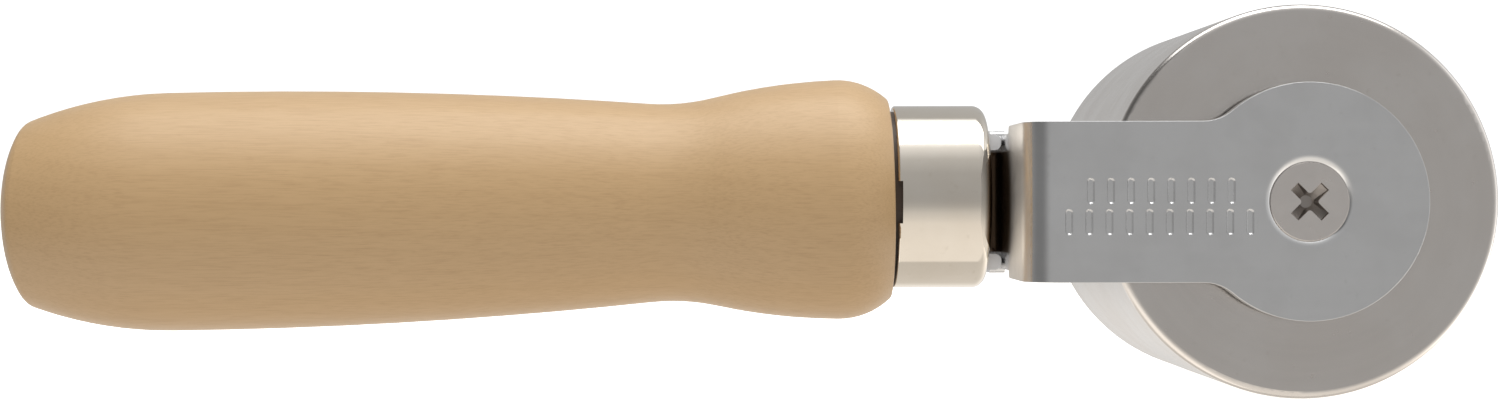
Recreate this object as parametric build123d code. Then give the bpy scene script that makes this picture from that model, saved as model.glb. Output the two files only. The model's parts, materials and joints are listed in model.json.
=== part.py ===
from build123d import *
import os

# Seam roller: a steel roller on two ball bearings, carried by a double fork whose
# tang is set in a turned wooden handle.
# Millimetres. The origin is the roller's centre. X runs from the handle to the
# roller, Y along the roller's axle, Z up. "Near" is the -Y side, "far" the +Y side.

# roller
roller_diameter = 50.8
roller_width = 50.8
roller_edge_radius = 1.0

# ball bearings, one in each end of the roller
bearing_outer_diameter = 22.0
bearing_bore = 8.0
bearing_width = 7.0
bearing_recess = 1.0
ball_count = 7
ball_diameter = 3.969
ball_pitch_diameter = 15.0
race_running_gap = 0.05
outer_race_shoulder_diameter = 18.2
inner_race_shoulder_diameter = 12.0
shield_thickness = 0.3
shield_seat_diameter = 18.8
shield_seat_depth = 0.5
shield_bore = 12.6
cage_inner_diameter = 13.6
cage_outer_diameter = 16.4
cage_width = 5.2
cage_pocket_gap = 0.12
roller_bore = 19.0

# axle between the fork arms, and its screws
axle_diameter = bearing_bore
screw_thread_diameter = 5.5
screw_length = 16.0
screw_head_diameter = 10.35
screw_rim_radius = 0.1
screw_head_set_in = 0.2
tapped_depth = 18.0
recess_span = 5.5
recess_wing_width = 1.35
recess_depth = 2.2
recess_wing_taper = 4
recess_corner_radius = 0.4
recess_mouth_diameter = 7.2
recess_floor_diameter = 1.6
end_spacer_diameter = 11.6
race_spacer_diameter = 11.0

# fork, in two bent halves
sheet = 2.2
arm_side_gap = 1.7
arm_height = 20.5
eye_diameter = 30.4
eye_blend_radius = 5.7
arm_bend_radius = 4.5
web_outer_x = -36.0
dimple_lip_radius = 1.5
edge_break = 0.06

# tang channels, back to back on the mid-plane
tang_bend_radius = 3.2
tang_overlap = 2.5
neck_height = 18.4
shoulder_y = 10.8
shoulder_radius = 0.9
tang_flange_height = 18.6
tang_flange_reach = 5.2
flange_relief = 0.25
flange_end_radius = 1.0
tang_rear_x = -78.0

# plain stamped strokes on the near arm
stroke_width = 1.0
stroke_height = 3.3
stroke_depth = 0.25
stroke_pitch = 2.55
stroke_wall_angle = 40
stroke_rows = ((-18.9, 1.4, 8), (-19.1, -2.55, 10))

# ferrule and handle
ferrule_diameter = 25.3
ferrule_wall = 0.8
ferrule_front_x = -38.2
ferrule_rear_x = -50.9
ferrule_front_radius = 1.7
ferrule_rim_radius = 0.35
ferrule_lift = 0.73
ferrule_notch_height = 5.7
ferrule_notch_depth = 0.6
tang_slot_gap = 0.1
shoulder_x = -51.4
handle_lift = 0.49
handle_rake = 0.95
shoulder_edge_radius = 0.5
tenon_overlap = 5.0
pin_diameter = 3.2
pin_x = -45.0
pin_length = 23.0

# Ends of the tangent arcs of the handle's outline, from the butt to the shoulder:
# distance behind the shoulder, radius there.
handle_outline = (
    (121.84, 0.0),
    (121.17, 8.14),
    (119.59, 12.32),
    (118.62, 13.11),
    (99.71, 16.56),
    (53.09, 15.3),
    (33.22, 13.83),
    (24.22, 14.47),
    (7.37, 16.63),
    (0.0, 13.8),
)

# how far a cutting tool runs past the surface it cuts
overcut = 1.0

half_width = roller_width / 2
arm_inner_y = half_width + arm_side_gap
arm_outer_y = arm_inner_y + sheet
bearing_outer_y = half_width - bearing_recess
bearing_inner_y = bearing_outer_y - bearing_width
bearing_mid_y = bearing_outer_y - bearing_width / 2


def along_y(radius, y_low, y_high):
    """Round bar along the axle from one station to another."""
    bar = Rot(90, 0, 0) * Cylinder(radius, y_high - y_low)
    return Pos(0, (y_low + y_high) / 2, 0) * bar


def ring_y(outer_radius, inner_radius, y_low, y_high):
    """Tube along the axle from one station to another."""
    return along_y(outer_radius, y_low, y_high) - along_y(inner_radius, y_low, y_high)


def block(x_span, y_span, z_span):
    """Box between two corners, given as a low and a high value for each axis."""
    lows, highs = zip(x_span, y_span, z_span)
    sizes = [high - low for low, high in zip(lows, highs)]
    centre = [(low + high) / 2 for low, high in zip(lows, highs)]
    return Pos(*centre) * Box(*sizes)


def far_side(shape):
    """The same piece on the +Y side of the tool."""
    return mirror(shape, Plane.XZ)


# ---- roller and bearings


def make_roller():
    body = along_y(roller_diameter / 2, -half_width, half_width)
    body = fillet(body.edges().filter_by(GeomType.CIRCLE), roller_edge_radius)
    body -= along_y(roller_bore / 2, -half_width, half_width)
    for low, high in ((-half_width, -bearing_inner_y), (bearing_inner_y, half_width)):
        body -= along_y(bearing_outer_diameter / 2, low, high)
    return body


def race_groove():
    """Ring swept by the ball plus its running gap, round the axle."""
    groove_radius = ball_diameter / 2 + race_running_gap
    groove = Rot(90, 0, 0) * Torus(ball_pitch_diameter / 2, groove_radius)
    return Pos(0, -bearing_mid_y, 0) * groove


def make_outer_race():
    low, high = -bearing_outer_y, -bearing_inner_y
    race = ring_y(bearing_outer_diameter / 2, outer_race_shoulder_diameter / 2, low, high)
    race -= along_y(shield_seat_diameter / 2, low, low + shield_seat_depth)
    race -= along_y(shield_seat_diameter / 2, high - shield_seat_depth, high)
    return race - race_groove()


def make_inner_race():
    low, high = -bearing_outer_y, -bearing_inner_y
    race = ring_y(inner_race_shoulder_diameter / 2, bearing_bore / 2, low, high)
    return race - race_groove()


def ball_places():
    """Ball centres round the axle, each with its X axis pointing outwards."""
    centre = Pos(0, -bearing_mid_y, 0)
    out = Pos(ball_pitch_diameter / 2, 0, 0)
    step = 360 / ball_count
    return [centre * Rot(0, -90 - number * step, 0) * out for number in range(ball_count)]


def make_balls():
    return [place * Sphere(ball_diameter / 2) for place in ball_places()]


def make_ball_cage():
    """Ring with a round pocket drilled through it for each ball."""
    low = -bearing_mid_y - cage_width / 2
    high = -bearing_mid_y + cage_width / 2
    cage = ring_y(cage_outer_diameter / 2, cage_inner_diameter / 2, low, high)
    pocket = Rot(0, 90, 0) * Cylinder(ball_diameter / 2 + cage_pocket_gap, ball_diameter)
    for place in ball_places():
        cage -= place * pocket
    return cage


def make_shields():
    """Both thin discs of one bearing, each on the floor of its seat."""
    shields = []
    for face, inward in ((-bearing_outer_y, 1), (-bearing_inner_y, -1)):
        floor = face + inward * shield_seat_depth
        outside = floor - inward * shield_thickness
        low, high = sorted((floor, outside))
        shields.append(ring_y(shield_seat_diameter / 2, shield_bore / 2, low, high))
    return shields


# ---- axle, spacers and screws


def head_cone_length():
    """Depth of the 90 degree head from its rim down to the thread."""
    return (screw_head_diameter - screw_thread_diameter) / 2


def head_cone(y_rim):
    """Cone of a screw head on the near side, its rim at the given station."""
    depth = head_cone_length()
    cone = Cone(screw_thread_diameter / 2, screw_head_diameter / 2, depth)
    return Pos(0, y_rim + depth / 2, 0) * Rot(90, 0, 0) * cone


def make_axle():
    axle = along_y(axle_diameter / 2, -arm_inner_y, arm_inner_y)
    thread_radius = screw_thread_diameter / 2
    rim = -arm_outer_y + screw_head_set_in
    near_cut = head_cone(rim) + along_y(thread_radius, -arm_inner_y, -arm_inner_y + tapped_depth)
    return axle - near_cut - far_side(near_cut)


def make_axle_screw():
    """Flat-head screw on the near side, with a cross recess turned 45 degrees."""
    rim = -arm_outer_y + screw_head_set_in
    shank = along_y(screw_thread_diameter / 2, rim + head_cone_length(), rim + screw_length)
    head = head_cone(rim)
    rim_edge = head.edges().filter_by(GeomType.CIRCLE).sort_by(Axis.Y)[0]
    head = fillet(rim_edge, screw_rim_radius)
    wings = Rectangle(recess_span, recess_wing_width) + Rectangle(recess_wing_width, recess_span)
    inner_corners = wings.vertices().sort_by_distance((0, 0, 0))[:4]
    wings = fillet(inner_corners, recess_corner_radius)
    cross = extrude(Rot(0, 0, 45) * wings, -recess_depth, taper=recess_wing_taper)
    funnel = Cone(recess_floor_diameter / 2, recess_mouth_diameter / 2, recess_depth)
    recess = cross & (Pos(0, 0, -recess_depth / 2) * funnel)
    return head + shank - Pos(0, rim, 0) * Rot(90, 0, 0) * recess


def make_end_spacer():
    return ring_y(end_spacer_diameter / 2, axle_diameter / 2, -arm_inner_y, -bearing_outer_y)


def make_race_spacer():
    return ring_y(race_spacer_diameter / 2, axle_diameter / 2, -bearing_inner_y, bearing_inner_y)


# ---- fork


def side_outline():
    """Side view of one half: plain strip that runs into a round eye through two blends."""
    eye_radius = eye_diameter / 2
    half_height = arm_height / 2
    reach = eye_blend_radius + eye_radius
    rise = eye_blend_radius + half_height
    blend_x = -((reach**2 - rise**2) ** 0.5)
    touch = eye_radius / reach
    strip = Pos(web_outer_x / 2 - sheet, 0) * Rectangle(-web_outer_x + 2 * sheet, arm_height)
    corner_x = (blend_x, blend_x * touch)
    web = Polyline(
        (corner_x[0], half_height),
        (corner_x[1], rise * touch),
        (corner_x[1], -rise * touch),
        (corner_x[0], -half_height),
        close=True,
    )
    outline = strip + Circle(eye_radius) + make_face(web)
    for side in (1, -1):
        outline -= Pos(blend_x, side * rise) * Circle(eye_blend_radius)
    return outline


def strip_plan():
    """Plan view of the bent strip: arm, bend, web, and the turn back into the tang."""
    web_inner_x = web_outer_x + sheet
    inner_bend = arm_bend_radius - sheet
    inner_turn = tang_bend_radius - sheet
    eye_end = eye_diameter / 2
    tang_start = web_outer_x - tang_overlap
    arm = Rectangle(eye_end - web_outer_x, sheet, align=(Align.MIN, Align.MIN))
    plan = Pos(web_outer_x, -arm_outer_y) * arm
    web = Rectangle(sheet, arm_outer_y, align=(Align.MIN, Align.MIN))
    plan += Pos(web_outer_x, -arm_outer_y) * web
    plate = Rectangle(web_inner_x - tang_start, sheet, align=(Align.MIN, Align.MAX))
    plan += Pos(tang_start, 0) * plate
    bends = (
        ((web_outer_x, -arm_outer_y), arm_bend_radius),
        ((web_inner_x, -arm_inner_y), inner_bend),
        ((web_inner_x, 0), tang_bend_radius),
        ((web_outer_x, -sheet), inner_turn),
    )
    for (x, y), radius in bends:
        corner = plan.vertices().sort_by_distance(Vector(x, y))[0]
        plan = fillet(corner, radius)
    return plan


def shoulder_cut(side):
    """Corner removed where the web narrows to its neck, above or below."""
    outer = arm_height / 2
    neck = neck_height / 2
    x_span = (web_outer_x - tang_overlap - overcut, web_outer_x + tang_bend_radius + overcut)
    rounding_y = -shoulder_y - shoulder_radius
    rounding_z = outer - shoulder_radius
    rounding = block(x_span, (rounding_y, -shoulder_y), (rounding_z, outer + overcut))
    bar = Rot(0, 90, 0) * Cylinder(shoulder_radius, 4 * (x_span[1] - x_span[0]))
    rounding -= Pos(web_outer_x, rounding_y, rounding_z) * bar
    cut = block(x_span, (-shoulder_y, overcut), (neck, outer + overcut)) + rounding
    return cut if side > 0 else mirror(cut, Plane.XY)


def tang_channel():
    """Channel behind the web: an upright plate with two flanges towards the near side."""
    half = tang_flange_height / 2
    front_x = web_outer_x - flange_relief
    outside = block((tang_rear_x, front_x), (-tang_flange_reach, 0), (-half, half))
    back_edges = outside.edges().filter_by(Axis.X).group_by(Axis.Y)[-1]
    outside = fillet(back_edges, tang_bend_radius)
    inside_x = (tang_rear_x - overcut, front_x + overcut)
    inside_y = (-2 * tang_flange_reach, -sheet)
    inside = block(inside_x, inside_y, (-half + sheet, half - sheet))
    inner_edges = inside.edges().filter_by(Axis.X).group_by(Axis.Y)[-1]
    inside = fillet(inner_edges, tang_bend_radius - sheet)
    channel = outside - inside
    front_edges = channel.edges().filter_by(Axis.Y).group_by(Axis.X)[-1]
    return fillet(front_edges, flange_end_radius)


def sink_screw(half):
    """Countersunk screw hole through the near arm, its rim rolled over softly."""
    mouth_radius = screw_head_diameter / 2 + screw_head_set_in
    depth = head_cone_length() + screw_head_set_in
    sink = Cone(screw_thread_diameter / 2, mouth_radius, depth)
    half -= Pos(0, -arm_outer_y + depth / 2, 0) * Rot(90, 0, 0) * sink
    half -= along_y(screw_thread_diameter / 2, -arm_outer_y, 0)
    circles = half.edges().filter_by(GeomType.CIRCLE)
    rim = circles.filter_by(lambda edge: abs(edge.radius - mouth_radius) < 0.01).sort_by(Axis.Y)[0]
    return fillet(rim, dimple_lip_radius)


def stamped_strokes():
    """Two rows of upright strokes pressed into the near arm."""
    strokes = []
    for centre_x, centre_z, count in stroke_rows:
        for number in range(count):
            x = centre_x + (number - (count - 1) / 2) * stroke_pitch
            slot = SlotOverall(stroke_height, stroke_width, rotation=90)
            tool = extrude(slot, -stroke_depth, taper=stroke_wall_angle)
            strokes.append(Pos(x, -arm_outer_y, centre_z) * Rot(90, 0, 0) * tool)
    return strokes


def break_edges(half):
    """Small round on the long edges of the strip, on both faces of the sheet."""
    half_height = arm_height / 2
    outer_face = half.edges().filter_by(lambda edge: abs(edge.center().Y + arm_outer_y) < 0.01)
    inner_face = half.edges().filter_by(lambda edge: abs(edge.center().Y + arm_inner_y) < 0.01)
    rims = half.edges().filter_by(lambda edge: abs(abs(edge.center().Z) - half_height) < 0.01)
    return fillet(ShapeList(set(outer_face + inner_face + rims)), edge_break)


def make_fork_half(marked):
    side = extrude(Rot(90, 0, 0) * side_outline(), arm_outer_y)
    strip = extrude(strip_plan(), eye_diameter / 2, both=True)
    half = strip & side
    half -= shoulder_cut(1)
    half -= shoulder_cut(-1)
    half = break_edges(half)
    half += tang_channel()
    half = sink_screw(half)
    half -= along_y(pin_diameter / 2, -arm_inner_y, 0).moved(Pos(pin_x, 0, 0))
    if marked:
        for stroke in stamped_strokes():
            half -= stroke
    return half


# ---- handle, ferrule and pin


def make_ferrule():
    """Drawn cup with a rounded front, a notched rear rim and a slot for the tang."""
    outer = ferrule_diameter / 2
    inner = outer - ferrule_wall
    length = ferrule_front_x - ferrule_rear_x
    cup = Rot(0, 90, 0) * Cylinder(outer, length)
    cup = Pos((ferrule_front_x + ferrule_rear_x) / 2, 0, 0) * cup
    front = cup.edges().filter_by(GeomType.CIRCLE).sort_by(Axis.X)[-1]
    cup = fillet(front, ferrule_front_radius)
    rear = cup.edges().filter_by(GeomType.CIRCLE).sort_by(Axis.X)[0]
    cup = fillet(rear, ferrule_rim_radius)
    hollow = Rot(0, 90, 0) * Cylinder(inner, length)
    hollow = Pos((ferrule_front_x + ferrule_rear_x) / 2 - ferrule_wall, 0, 0) * hollow
    cup -= hollow
    cup = Pos(0, 0, ferrule_lift) * cup
    notch_half = ferrule_notch_height / 2
    notch_x = (ferrule_rear_x - overcut, ferrule_rear_x + ferrule_notch_depth)
    cup -= block(notch_x, (-outer - overcut, 0), (-notch_half, notch_half))
    return cup - tang_slot()


def tang_slot():
    """Slot through the ferrule's front and into the handle, a little larger than the tang."""
    height = tang_flange_height / 2 + tang_slot_gap
    reach = tang_flange_reach + tang_slot_gap
    return block((tang_rear_x - tang_slot_gap, web_outer_x), (-reach, reach), (-height, height))


def handle_body():
    """Turned part of the handle on its own level axis, its shoulder at shoulder_x."""
    points = [(shoulder_x - behind, radius) for behind, radius in handle_outline]
    outline = Polyline(points[-1], (shoulder_x, 0), points[0])
    direction = (0, 1)
    for start, end in zip(points, points[1:]):
        arc = TangentArc(start, end, tangent=direction)
        direction = arc.tangent_at(1)
        outline += arc
    return revolve(make_face(outline), Axis.X)


def make_handle():
    body = handle_body()
    rim = body.edges().filter_by(GeomType.CIRCLE).sort_by(Axis.X)[-1]
    body = fillet(rim, shoulder_edge_radius)
    body = Pos(-shoulder_x, 0, 0) * body
    body = Pos(shoulder_x, 0, handle_lift) * Rot(0, -handle_rake, 0) * body
    tenon_front = ferrule_front_x - ferrule_wall
    tenon_rear = shoulder_x - tenon_overlap
    tenon = Rot(0, 90, 0) * Cylinder(ferrule_diameter / 2 - ferrule_wall, tenon_front - tenon_rear)
    body += Pos((tenon_front + tenon_rear) / 2, 0, ferrule_lift) * tenon
    body -= tang_slot()
    return body - make_tang_pin()


def make_tang_pin():
    return along_y(pin_diameter / 2, -pin_length / 2, pin_length / 2).moved(Pos(pin_x, 0, 0))


def build_parts():
    near_half = make_fork_half(marked=True)
    far_half = far_side(make_fork_half(marked=False))
    parts = {
        "handle": make_handle(),
        "ferrule": make_ferrule(),
        "tang_pin": make_tang_pin(),
        "near_fork_half": near_half,
        "far_fork_half": far_half,
        "roller": make_roller(),
        "axle": make_axle(),
        "race_spacer": make_race_spacer(),
    }
    screw = make_axle_screw()
    parts["axle_screws"] = Compound(children=[screw, far_side(screw)])
    bearing = {
        "end_spacer": make_end_spacer(),
        "outer_race": make_outer_race(),
        "inner_race": make_inner_race(),
        "balls": Compound(children=make_balls()),
        "ball_cage": make_ball_cage(),
        "shields": Compound(children=make_shields()),
    }
    for name, shape in bearing.items():
        parts["near_" + name] = shape
        parts["far_" + name] = far_side(shape)
    return parts


os.makedirs("parts", exist_ok=True)
for node, shape in build_parts().items():
    export_step(shape, f"parts/{node}.step")
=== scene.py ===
import json
from math import pi, radians

import bmesh
import bpy
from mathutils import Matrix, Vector


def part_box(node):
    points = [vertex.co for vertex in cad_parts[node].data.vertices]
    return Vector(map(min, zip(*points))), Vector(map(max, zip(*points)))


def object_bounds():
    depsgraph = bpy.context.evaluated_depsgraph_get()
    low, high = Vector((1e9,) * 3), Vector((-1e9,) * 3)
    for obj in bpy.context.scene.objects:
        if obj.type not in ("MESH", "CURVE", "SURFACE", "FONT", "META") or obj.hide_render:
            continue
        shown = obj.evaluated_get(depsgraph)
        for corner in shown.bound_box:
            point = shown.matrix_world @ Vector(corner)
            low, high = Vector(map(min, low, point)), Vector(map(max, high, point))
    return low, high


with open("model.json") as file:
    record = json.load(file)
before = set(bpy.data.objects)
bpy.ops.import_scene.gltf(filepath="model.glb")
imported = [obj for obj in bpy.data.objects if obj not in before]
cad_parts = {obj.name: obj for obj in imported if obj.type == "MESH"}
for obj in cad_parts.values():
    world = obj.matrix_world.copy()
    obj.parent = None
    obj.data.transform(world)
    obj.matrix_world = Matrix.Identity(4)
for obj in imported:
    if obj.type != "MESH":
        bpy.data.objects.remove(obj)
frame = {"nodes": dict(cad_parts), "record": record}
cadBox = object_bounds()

mm = 0.001
nodes = frame["nodes"]


# one socket of a node tree, with Python operators that add Math nodes

class Signal:
    def __init__(self, tree, socket):
        self.tree = tree
        self.socket = socket

    def maths(self, operation, *values):
        return self.tree.add("ShaderNodeMath", {"operation": operation}, dict(enumerate(values)))

    def __add__(self, other):
        return self.maths("ADD", self, other)

    __radd__ = __add__

    def __sub__(self, other):
        return self.maths("SUBTRACT", self, other)

    def __rsub__(self, other):
        return self.maths("SUBTRACT", other, self)

    def __mul__(self, other):
        return self.maths("MULTIPLY", self, other)

    __rmul__ = __mul__

    def __truediv__(self, other):
        return self.maths("DIVIDE", self, other)

    def __pow__(self, other):
        return self.maths("POWER", self, other)

    def most(self, other):
        return self.maths("MAXIMUM", self, other)

    def size(self):
        return self.maths("ABSOLUTE", self)

    def fade(self, low, high, start=0.0, end=1.0):   # smooth step from start to end
        settings = {"interpolation_type": "SMOOTHSTEP"}
        return self.tree.add("ShaderNodeMapRange", settings, {0: self, 1: low, 2: high, 3: start, 4: end})


class Tree:
    def __init__(self, nodeTree):
        self.nodeTree = nodeTree
        nodeTree.nodes.clear()

    def add(self, kind, settings=None, inputs=None, out=0):
        node = self.nodeTree.nodes.new(kind)
        for name, value in (settings or {}).items():
            if name == "stops":
                self.setStops(node.color_ramp, value)
            else:
                setattr(node, name, value)
        for key, value in (inputs or {}).items():
            socket = node.inputs[key]
            if isinstance(value, Signal):
                self.nodeTree.links.new(value.socket, socket)
            else:
                socket.default_value = value
        return Signal(self, node.outputs[out]) if node.outputs else None

    def setStops(self, ramp, stops):
        while len(ramp.elements) < len(stops):
            ramp.elements.new(1.0)
        for element, (place, colour) in zip(ramp.elements, stops):
            element.position = place
            element.color = colour if len(colour) == 4 else (*colour, 1.0)

    def mix(self, factor, first, second, how="MIX"):   # of two colours
        settings = {"data_type": "RGBA", "blend_type": how}
        return self.add("ShaderNodeMix", settings, {0: factor, 6: first, 7: second}, out=2)

    def place(self):   # where a point is in the object's own frame, in metres
        return self.add("ShaderNodeTexCoord", out=3)

    def scaled(self, vector, by):
        return self.add("ShaderNodeVectorMath", {"operation": "MULTIPLY"}, {0: vector, 1: by})

    def parts(self, vector):
        node = self.add("ShaderNodeSeparateXYZ", None, {0: vector})
        return [Signal(self, socket) for socket in node.socket.node.outputs]

    def join(self, x, y, z):
        return self.add("ShaderNodeCombineXYZ", None, {0: x, 1: y, 2: z})

    def noise(self, vector, scale, detail=3.0, roughness=0.5, warp=0.0):
        inputs = {"Vector": vector, "Scale": scale, "Detail": detail}
        inputs.update({"Roughness": roughness, "Distortion": warp})
        return self.add("ShaderNodeTexNoise", None, inputs)

    def bump(self, height, distance, strength=1.0):
        inputs = {"Strength": strength, "Distance": distance, "Height": height}
        return self.add("ShaderNodeBump", None, inputs)


def srgb(red, green, blue):   # 0 to 255, as a paint chart gives them
    def straight(value):
        value /= 255
        return value / 12.92 if value <= 0.04045 else ((value + 0.055) / 1.055) ** 2.4
    return (straight(red), straight(green), straight(blue), 1.0)


def newMaterial(name):
    material = bpy.data.materials.new(name)
    material.use_nodes = True
    return material, Tree(material.node_tree)


def finishMaterial(tree, inputs):
    shader = tree.add("ShaderNodeBsdfPrincipled", None, inputs)
    tree.add("ShaderNodeOutputMaterial", None, {0: shader})


# wood of the handle

wood = {
    "pale": srgb(198, 165, 121),
    "middle": srgb(186, 152, 108),
    "dark": srgb(158, 122, 83),
    "paintedGapShade": srgb(66, 52, 40),     # painted shade: the tenon and shoulder, in the gap inside the ferrule's rim
    "ringSpacing": 2.6 * mm,
    "heartBelow": 42 * mm,          # the tree's heart lies this far under the handle
    "slope": 0.05,                  # of the rings along the handle
    "sway": 1.6 * mm,
    "swayScale": (22.0, 60.0, 60.0),
    "lean": 5 * mm,
    "leanScale": (9.0, 22.0, 22.0),
    "lateWood": (0.40, 0.96),       # where in a ring the dark part begins and is full
    "ringEnd": (0.97, 1.0),
    "fibreScale": (210.0, 5600.0, 5600.0),
    "fleckScale": (520.0, 3000.0, 3000.0),
    "fleckWarp": 0.8,
    "cloudScale": (22.0, 70.0, 70.0),
    # how strongly each one tints the wood
    "ringTint": 0.16,
    "fibreTint": 0.30,
    "fleckTint": 0.12,
    "cloudTint": 0.15,
    # how much each one lifts the surface
    "fibreLift": 0.6,
    "fleckLift": 0.5,
    "ringLift": 0.2,
    "lift": 0.012 * mm,
    "liftStrength": 0.5,
    "roughness": (0.42, 0.55),
    "varnish": 0.45,
    "varnishRoughness": 0.34,
    "fleckUnvarnished": 0.1,
    # less varnish where the gap's painted shade is
    "gapShadeUnvarnished": 0.3,
    "shoulder": (-51.4 * mm, -51.3 * mm),
    "tenonRadius": (12.9 * mm, 13.2 * mm),
    "tenonUp": 0.6 * mm,
}


def makeWood():
    material, tree = newMaterial("varnishedHardwood")
    place = tree.place()
    x, y, z = tree.parts(place)
    sway = tree.noise(tree.scaled(place, wood["swayScale"]), 1.0, 2.0)
    lean = tree.noise(tree.scaled(place, wood["leanScale"]), 1.0, 1.0)
    depth = z + wood["heartBelow"] + x * wood["slope"]
    radius = (y * y + depth * depth) ** 0.5
    rings = (radius + sway * wood["sway"] + lean * wood["lean"]) / wood["ringSpacing"]
    ring = tree.add("ShaderNodeMath", {"operation": "FRACT"}, {0: rings})
    lateWood = ring.fade(*wood["lateWood"]) * (1 - ring.fade(*wood["ringEnd"]))
    fibre = tree.noise(tree.scaled(place, wood["fibreScale"]), 1.0, 3.0, 0.6)
    fleck = tree.noise(tree.scaled(place, wood["fleckScale"]), 1.0, 2.0, 0.5, wood["fleckWarp"])
    cloud = tree.noise(tree.scaled(place, wood["cloudScale"]), 1.0, 2.0)
    base = tree.mix(lateWood * wood["ringTint"], wood["pale"], wood["middle"])
    base = tree.mix(fibre.fade(0.40, 0.75) * wood["fibreTint"], base, wood["dark"])
    base = tree.mix(fleck.fade(0.52, 0.78) * wood["fleckTint"], base, wood["dark"])
    base = tree.mix(cloud.fade(0.3, 0.75) * wood["cloudTint"], base, wood["middle"])
    middle = z - wood["tenonUp"]
    fromMiddle = (y * y + middle * middle) ** 0.5
    # painted shade: dark colour and less varnish on the tenon and shoulder in the gap
    gapShadeMask = x.fade(*wood["shoulder"]) * (1 - fromMiddle.fade(*wood["tenonRadius"]))
    base = tree.mix(gapShadeMask, base, wood["paintedGapShade"])
    bare = fleck.fade(0.5, 0.8) * wood["fleckUnvarnished"] + gapShadeMask * wood["gapShadeUnvarnished"]
    height = fibre * wood["fibreLift"] + fleck * wood["fleckLift"] + lateWood * wood["ringLift"]
    finishMaterial(tree, {
        "Base Color": base,
        "Roughness": fibre.fade(0.2, 0.8, *wood["roughness"]),
        "Coat Weight": wood["varnish"] - bare,
        "Coat Roughness": wood["varnishRoughness"],
        "Normal": tree.bump(height, wood["lift"], wood["liftStrength"]),
    })
    return material


# metals

wear = {   # the same on every metal
    "smearShows": (0.35, 0.70),
    "speckShows": (0.62, 0.80),
    "speckRough": 0.05,
    "fineShare": 0.6,
    "smearShare": 0.4,
    "roughShows": (0.3, 0.7),
}


def turnedMarks(tree, place, pitch):   # lathe marks round the roller's axle
    x, y, z = tree.parts(place)
    radius = (x * x + z * z) ** 0.5
    return tree.noise(tree.join(radius / pitch, y / pitch, 0.0), 1.0, 3.0, 0.6)


def shadeCut(tree, place, recess, tint, rough):   # painted shade deep in a screw's cross, which is also rougher there
    x, y, z = tree.parts(place)
    # painted shade: darker and rougher below the cut depth
    recessShade = 1 - y.size().fade(*recess["cutDepth"])
    return tree.mix(recessShade, tint, recess["colour"]), rough + recessShade * recess["recessShadeRough"], 1.0


def shadeThroat(tree, place, recess, tint, rough):   # painted shade in the recess behind the web; the flange edges beside it are rougher, less metallic and lighter, a painted highlight
    x, y, z = tree.parts(place)
    behind = 1 - x.fade(*recess["front"])
    inner = 1 - z.size().fade(*recess["halfHeight"])
    outward = ((y * y + z * z) ** 0.5).fade(*recess["radius"])
    # painted shade: the recess behind the web, inside the flanges
    recessShade = behind * inner * (1 - outward)
    # painted highlight: the flange edges are lighter and mostly non-metallic so the fill lamp makes them
    # bright; they are also rougher
    edge = (1 - x.fade(*recess["flangeFront"])) * (1 - inner)
    web = behind * outward
    tint = tree.mix(edge * recess["edgeHighlightTint"], tint, recess["edgeHighlightColour"])
    tint = tree.mix(recessShade, tint, recess["colour"])
    rough = rough + edge * recess["edgeRough"] + recessShade * recess["recessShadeRough"] + web * recess["webRough"]
    return tint, rough, 1 - edge * recess["edgeDull"]


def makeMetal(name, look):
    material, tree = newMaterial(name)
    place = tree.place()
    if "pitch" in look:
        fine = turnedMarks(tree, place, look["pitch"])
    else:
        fine = tree.noise(tree.scaled(place, look["marks"]), 1.0, 3.0, 0.6)
    smear = tree.noise(place, 1 / look["smearSize"], 3.0, 0.55)
    speck = tree.noise(place, 1 / look["speckSize"], 2.0, 0.5).fade(*wear["speckShows"])
    stain = smear.fade(*wear["smearShows"]) * look["stain"]
    tint = tree.mix(stain, look["colour"], look["stainColour"])
    tint = tree.mix(speck * look["stain"], tint, look["stainColour"])
    uneven = fine * wear["fineShare"] + smear * wear["smearShare"]
    rough = uneven.fade(*wear["roughShows"], *look["roughness"]) + speck * wear["speckRough"]
    metal = 1.0
    if "throat" in look:
        tint, rough, metal = shadeThroat(tree, place, look["throat"], tint, rough)
    if "cut" in look:
        tint, rough, metal = shadeCut(tree, place, look["cut"], tint, rough)
    finishMaterial(tree, {
        "Base Color": tint,
        "Metallic": metal,
        "Roughness": rough,
        "Normal": tree.bump(fine, look["relief"], 1.0),
    })
    return material


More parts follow.
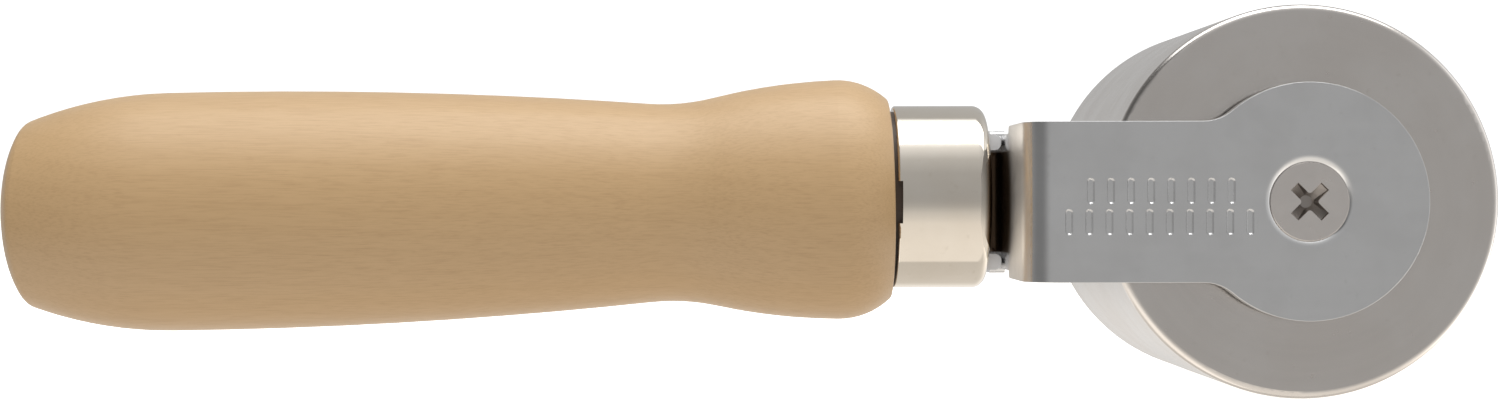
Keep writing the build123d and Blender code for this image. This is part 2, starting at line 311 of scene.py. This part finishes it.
metals = {
    "polished_nickel": {
        "colour": srgb(243, 235, 223), "stainColour": srgb(220, 207, 188), "stain": 0.2,
        "roughness": (0.05, 0.10), "marks": (900.0, 30.0, 30.0),
        "smearSize": 9 * mm, "speckSize": 1.1 * mm, "relief": 0.0006 * mm,
    },
    "fork_plating": {
        "colour": srgb(236, 236, 236), "stainColour": srgb(206, 205, 204), "stain": 0.22,
        "roughness": (0.13, 0.22), "marks": (60.0, 700.0, 700.0),
        "smearSize": 7 * mm, "speckSize": 0.7 * mm, "relief": 0.0012 * mm,
        "throat": {
            "front": (-35.4 * mm, -35.0 * mm), "flangeFront": (-36.5 * mm, -36.2 * mm),
            "halfHeight": (6.7 * mm, 7.1 * mm), "radius": (11.0 * mm, 16.0 * mm),
            # colour below is painted shade for the recess behind the web
            "colour": srgb(104, 86, 70), "recessShadeRough": 0.25, "webRough": 0.22,
            # edge colour below is a painted highlight on the flange edges
            "edgeHighlightColour": srgb(246, 246, 248), "edgeHighlightTint": 0.8, "edgeRough": 0.35, "edgeDull": 0.85,
        },
    },
    "roller_steel": {
        "colour": srgb(232, 227, 222), "stainColour": srgb(205, 196, 188), "stain": 0.25,
        "roughness": (0.15, 0.27), "pitch": 0.35 * mm,
        "smearSize": 11 * mm, "speckSize": 0.8 * mm, "relief": 0.0014 * mm,
    },
    "screw_steel": {
        "colour": srgb(238, 232, 227), "stainColour": srgb(214, 206, 199), "stain": 0.2,
        "cut": {
            # colour below is painted shade deep in the screw's cross
            "cutDepth": (28.6 * mm, 28.9 * mm), "colour": srgb(176, 170, 165), "recessShadeRough": 0.2,
        },
        "roughness": (0.18, 0.28), "marks": (600.0, 600.0, 600.0),
        "smearSize": 3 * mm, "speckSize": 0.5 * mm, "relief": 0.0006 * mm,
    },
    "hidden_steel": {
        "colour": srgb(205, 205, 208), "stainColour": srgb(150, 146, 140), "stain": 0.4,
        "roughness": (0.28, 0.42), "pitch": 0.30 * mm,
        "smearSize": 4 * mm, "speckSize": 0.8 * mm, "relief": 0.002 * mm,
    },
    "bearing_steel": {
        "colour": srgb(230, 231, 235), "stainColour": srgb(200, 200, 204), "stain": 0.2,
        "roughness": (0.06, 0.14), "pitch": 0.15 * mm,
        "smearSize": 3 * mm, "speckSize": 0.4 * mm, "relief": 0.0005 * mm,
    },
    "bearing_shield": {
        "colour": srgb(212, 212, 214), "stainColour": srgb(170, 168, 165), "stain": 0.35,
        "roughness": (0.22, 0.34), "pitch": 0.25 * mm,
        "smearSize": 3 * mm, "speckSize": 0.5 * mm, "relief": 0.001 * mm,
    },
}


cagePlastic = {
    "pale": srgb(214, 204, 178),
    "deep": srgb(198, 186, 158),
    "grainScale": 3500.0,
    "flowScale": 260.0,
    "roughness": (0.42, 0.58),
    "relief": 0.01 * mm,
    "reliefStrength": 0.6,
}


def makeCagePlastic():
    material, tree = newMaterial("ballCageNylon")
    place = tree.place()
    grain = tree.noise(place, cagePlastic["grainScale"], 3.0)
    flow = tree.noise(place, cagePlastic["flowScale"], 2.0)
    finishMaterial(tree, {
        "Base Color": tree.mix(flow.fade(0.3, 0.7), cagePlastic["pale"], cagePlastic["deep"]),
        "Roughness": grain.fade(0.3, 0.7, *cagePlastic["roughness"]),
        "Normal": tree.bump(grain, cagePlastic["relief"], cagePlastic["reliefStrength"]),
    })
    return material


def paintNodes():
    finishes = {name: makeMetal(name, look) for name, look in metals.items()}
    finishes["varnished_wood"] = makeWood()
    finishes["cage_plastic"] = makeCagePlastic()
    slotOf = {entry["node"]: entry["material_slot"] for entry in frame["record"]["subparts"]}
    for name, node in nodes.items():
        for materialSlot in node.material_slots:
            materialSlot.material = finishes[slotOf[name]]


# room, light and camera

floorLook = {
    "size": 6.0,
    "colour": srgb(246, 245, 243),
    "speckleColour": srgb(240, 236, 230),
    "speckleScale": 40.0,
    "speckle": 0.02,
    "roughness": 0.9,
    "glow": 0.85,
}

studio = {
    "backdrop": 1.15,   # what the camera sees behind the tool
    "lowColour": srgb(255, 249, 241),
    "highColour": srgb(255, 255, 255),
    "colourTurns": (-0.7, 0.1),
    # how bright the studio is at each height above the horizon, in degrees
    "front": (
        (-90, 0.90), (-60, 0.89), (-34, 0.82), (-20, 0.62), (-12, 0.45), (-6, 0.39),
        (0, 0.38), (14, 0.39), (30, 0.41), (48, 0.53), (64, 0.87), (71, 1.3),
    ),
    "back": (
        (-90, 0.60), (-40, 0.70), (-22, 0.98), (-13, 0.92), (-8, 0.62), (-3, 0.54),
        (3, 0.52), (20, 0.48), (62, 0.46), (68, 1.3),
    ),
    "frontBegins": (-0.2, 0.3),
    # brightness of the walls, as a change from what the profiles give
    "left": 1.0,
    "lowLeft": 0.45,
    "upLeft": -0.55,
    "right": 0.5,
    "farRight": 0.9,
    # where each wall begins and is full: sideways and forwards from -1 to 1, heights in half turns
    "leftSide": (0.45, 0.85),
    "leftFront": (-0.75, -0.1),
    "leftFoot": (-0.16, -0.06),
    "leftTop": (0.33, 0.40),
    "lowLeftSide": (0.15, 0.55),
    "lowLeftTop": (-0.22, -0.10),
    "upLeftSide": (0.3, 0.7),
    "upLeftFoot": (0.10, 0.20),
    "rightSide": (0.45, 0.95),
    "farRightSide": (0.90, 0.99),
    "rightHeight": (0.15, 0.32),
}

lamps = {
    "overheadHeight": 0.90,
    "overheadShift": 0.16,
    "overheadSize": (1.3, 0.66),
    "overheadPower": 4.6,
    "fillPlace": (-0.10, -0.42, 0.72),   # lights the wood only; polished metal does not show it
    "fillSize": (1.0, 0.4),
    "fillPower": 3.6,
}

lens = {
    "focal": 55.6,
    "sensor": 36.0,
    "nearest": 10 * mm,
    "x": -74.6 * mm,
    "back": 323 * mm,
    "up": 0.27 * mm,
    "roll": 0.1,
    "shift": 0.0187,
}


def makeFloor():
    rollerLow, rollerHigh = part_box("roller")
    half = floorLook["size"] / 2
    shape = bmesh.new()
    corners = ((-half, -half), (half, -half), (half, half), (-half, half))
    shape.faces.new([shape.verts.new((x, y, rollerLow[2])) for x, y in corners])
    mesh = bpy.data.meshes.new("floor")
    shape.to_mesh(mesh)
    shape.free()
    floor = bpy.data.objects.new("floor", mesh)
    bpy.context.scene.collection.objects.link(floor)
    material, tree = newMaterial("paleFloor")
    speckle = tree.noise(tree.place(), floorLook["speckleScale"], 2.0).fade(0.3, 0.7) * floorLook["speckle"]
    finishMaterial(tree, {
        "Base Color": tree.mix(speckle, floorLook["colour"], floorLook["speckleColour"]),
        "Roughness": floorLook["roughness"],
        "Emission Color": floorLook["colour"],
        "Emission Strength": floorLook["glow"],
    })
    mesh.materials.append(material)
    floor.visible_glossy = False
    floor.visible_diffuse = False
    floor.visible_shadow = False


def makeWorld():
    world = bpy.data.worlds.new("studio")
    bpy.context.scene.world = world
    world.use_nodes = True
    tree = Tree(world.node_tree)
    x, y, z = tree.parts(tree.add("ShaderNodeTexCoord", out=0))
    height = z.maths("ARCSINE", z) / pi + 0.5   # 0 straight down, 1 straight up

    def profile(points):   # at half brightness, since a stop can't hold more than 1
        stops = [(0.5 + degrees / 180, (grey / 2,) * 3) for degrees, grey in points]
        return tree.add("ShaderNodeValToRGB", {"stops": stops}, {0: height})

    flat = (x * x + y * y).most(0.000001) ** 0.5
    ahead = (-1 * y) / flat
    side = x / flat
    leftward = -1 * side
    rise = height - 0.5
    leftFront = ahead.fade(*studio["leftFront"])
    left = leftward.fade(*studio["leftSide"]) * leftFront
    left = left * rise.fade(*studio["leftFoot"]) * (1 - rise.fade(*studio["leftTop"]))
    lowLeft = leftward.fade(*studio["lowLeftSide"]) * leftFront * (1 - rise.fade(*studio["lowLeftTop"]))
    upLeft = leftward.fade(*studio["upLeftSide"]) * rise.fade(*studio["upLeftFoot"])
    level = 1 - rise.size().fade(*studio["rightHeight"])
    right = side.fade(*studio["rightSide"]) * level
    farRight = side.fade(*studio["farRightSide"]) * level
    grey = tree.mix(ahead.fade(*studio["frontBegins"]), profile(studio["back"]), profile(studio["front"]))
    grey = grey * (2 - left * studio["left"]) * (1 + lowLeft * studio["lowLeft"])
    grey = grey * (1 + right * studio["right"] + farRight * studio["farRight"])
    grey = grey * (1 + upLeft * studio["upLeft"])
    tint = tree.mix(z.fade(*studio["colourTurns"]), studio["lowColour"], studio["highColour"])
    shine = tree.add("ShaderNodeBackground", None, {0: tint, 1: grey})
    backdrop = tree.add("ShaderNodeBackground", None, {0: (1.0, 1.0, 1.0, 1.0), 1: studio["backdrop"]})
    seen = tree.add("ShaderNodeLightPath", out=0)
    both = tree.add("ShaderNodeMixShader", None, {0: seen, 1: shine, 2: backdrop})
    tree.add("ShaderNodeOutputWorld", None, {0: both})


def addPanel(name, place, aim, size, power):
    light = bpy.data.lights.new(name, "AREA")
    light.shape = "RECTANGLE"
    light.size, light.size_y = size
    light.energy = power
    holder = bpy.data.objects.new(name, light)
    holder.location = place
    holder.rotation_euler = (Vector(aim) - Vector(place)).to_track_quat("-Z", "Y").to_euler()
    bpy.context.scene.collection.objects.link(holder)
    return holder


def makeLights():
    middle = (cadBox[0][0] + cadBox[1][0]) / 2
    above = middle + lamps["overheadShift"]
    place = (above, 0.0, lamps["overheadHeight"])
    addPanel("overheadPanel", place, (above, 0.0, 0.0), lamps["overheadSize"], lamps["overheadPower"])
    aim = (middle, 0.0, 0.0)
    fill = addPanel("frontFill", lamps["fillPlace"], aim, lamps["fillSize"], lamps["fillPower"])
    fill.visible_glossy = False


def makeCamera():
    camera = bpy.data.cameras.new("camera")
    camera.lens = lens["focal"]
    camera.sensor_width = lens["sensor"]
    camera.shift_x = lens["shift"]
    camera.clip_start = lens["nearest"]
    holder = bpy.data.objects.new("camera", camera)
    holder.location = (lens["x"], -lens["back"], lens["up"])
    holder.rotation_euler = (pi / 2, radians(lens["roll"]), 0.0)
    bpy.context.scene.collection.objects.link(holder)
    bpy.context.scene.camera = holder


paintNodes()
print("finishes on", len(nodes), "nodes")
makeFloor()
makeWorld()
makeLights()
makeCamera()
bpy.context.scene.view_settings.view_transform = "Standard"
print("room, light and camera ready")
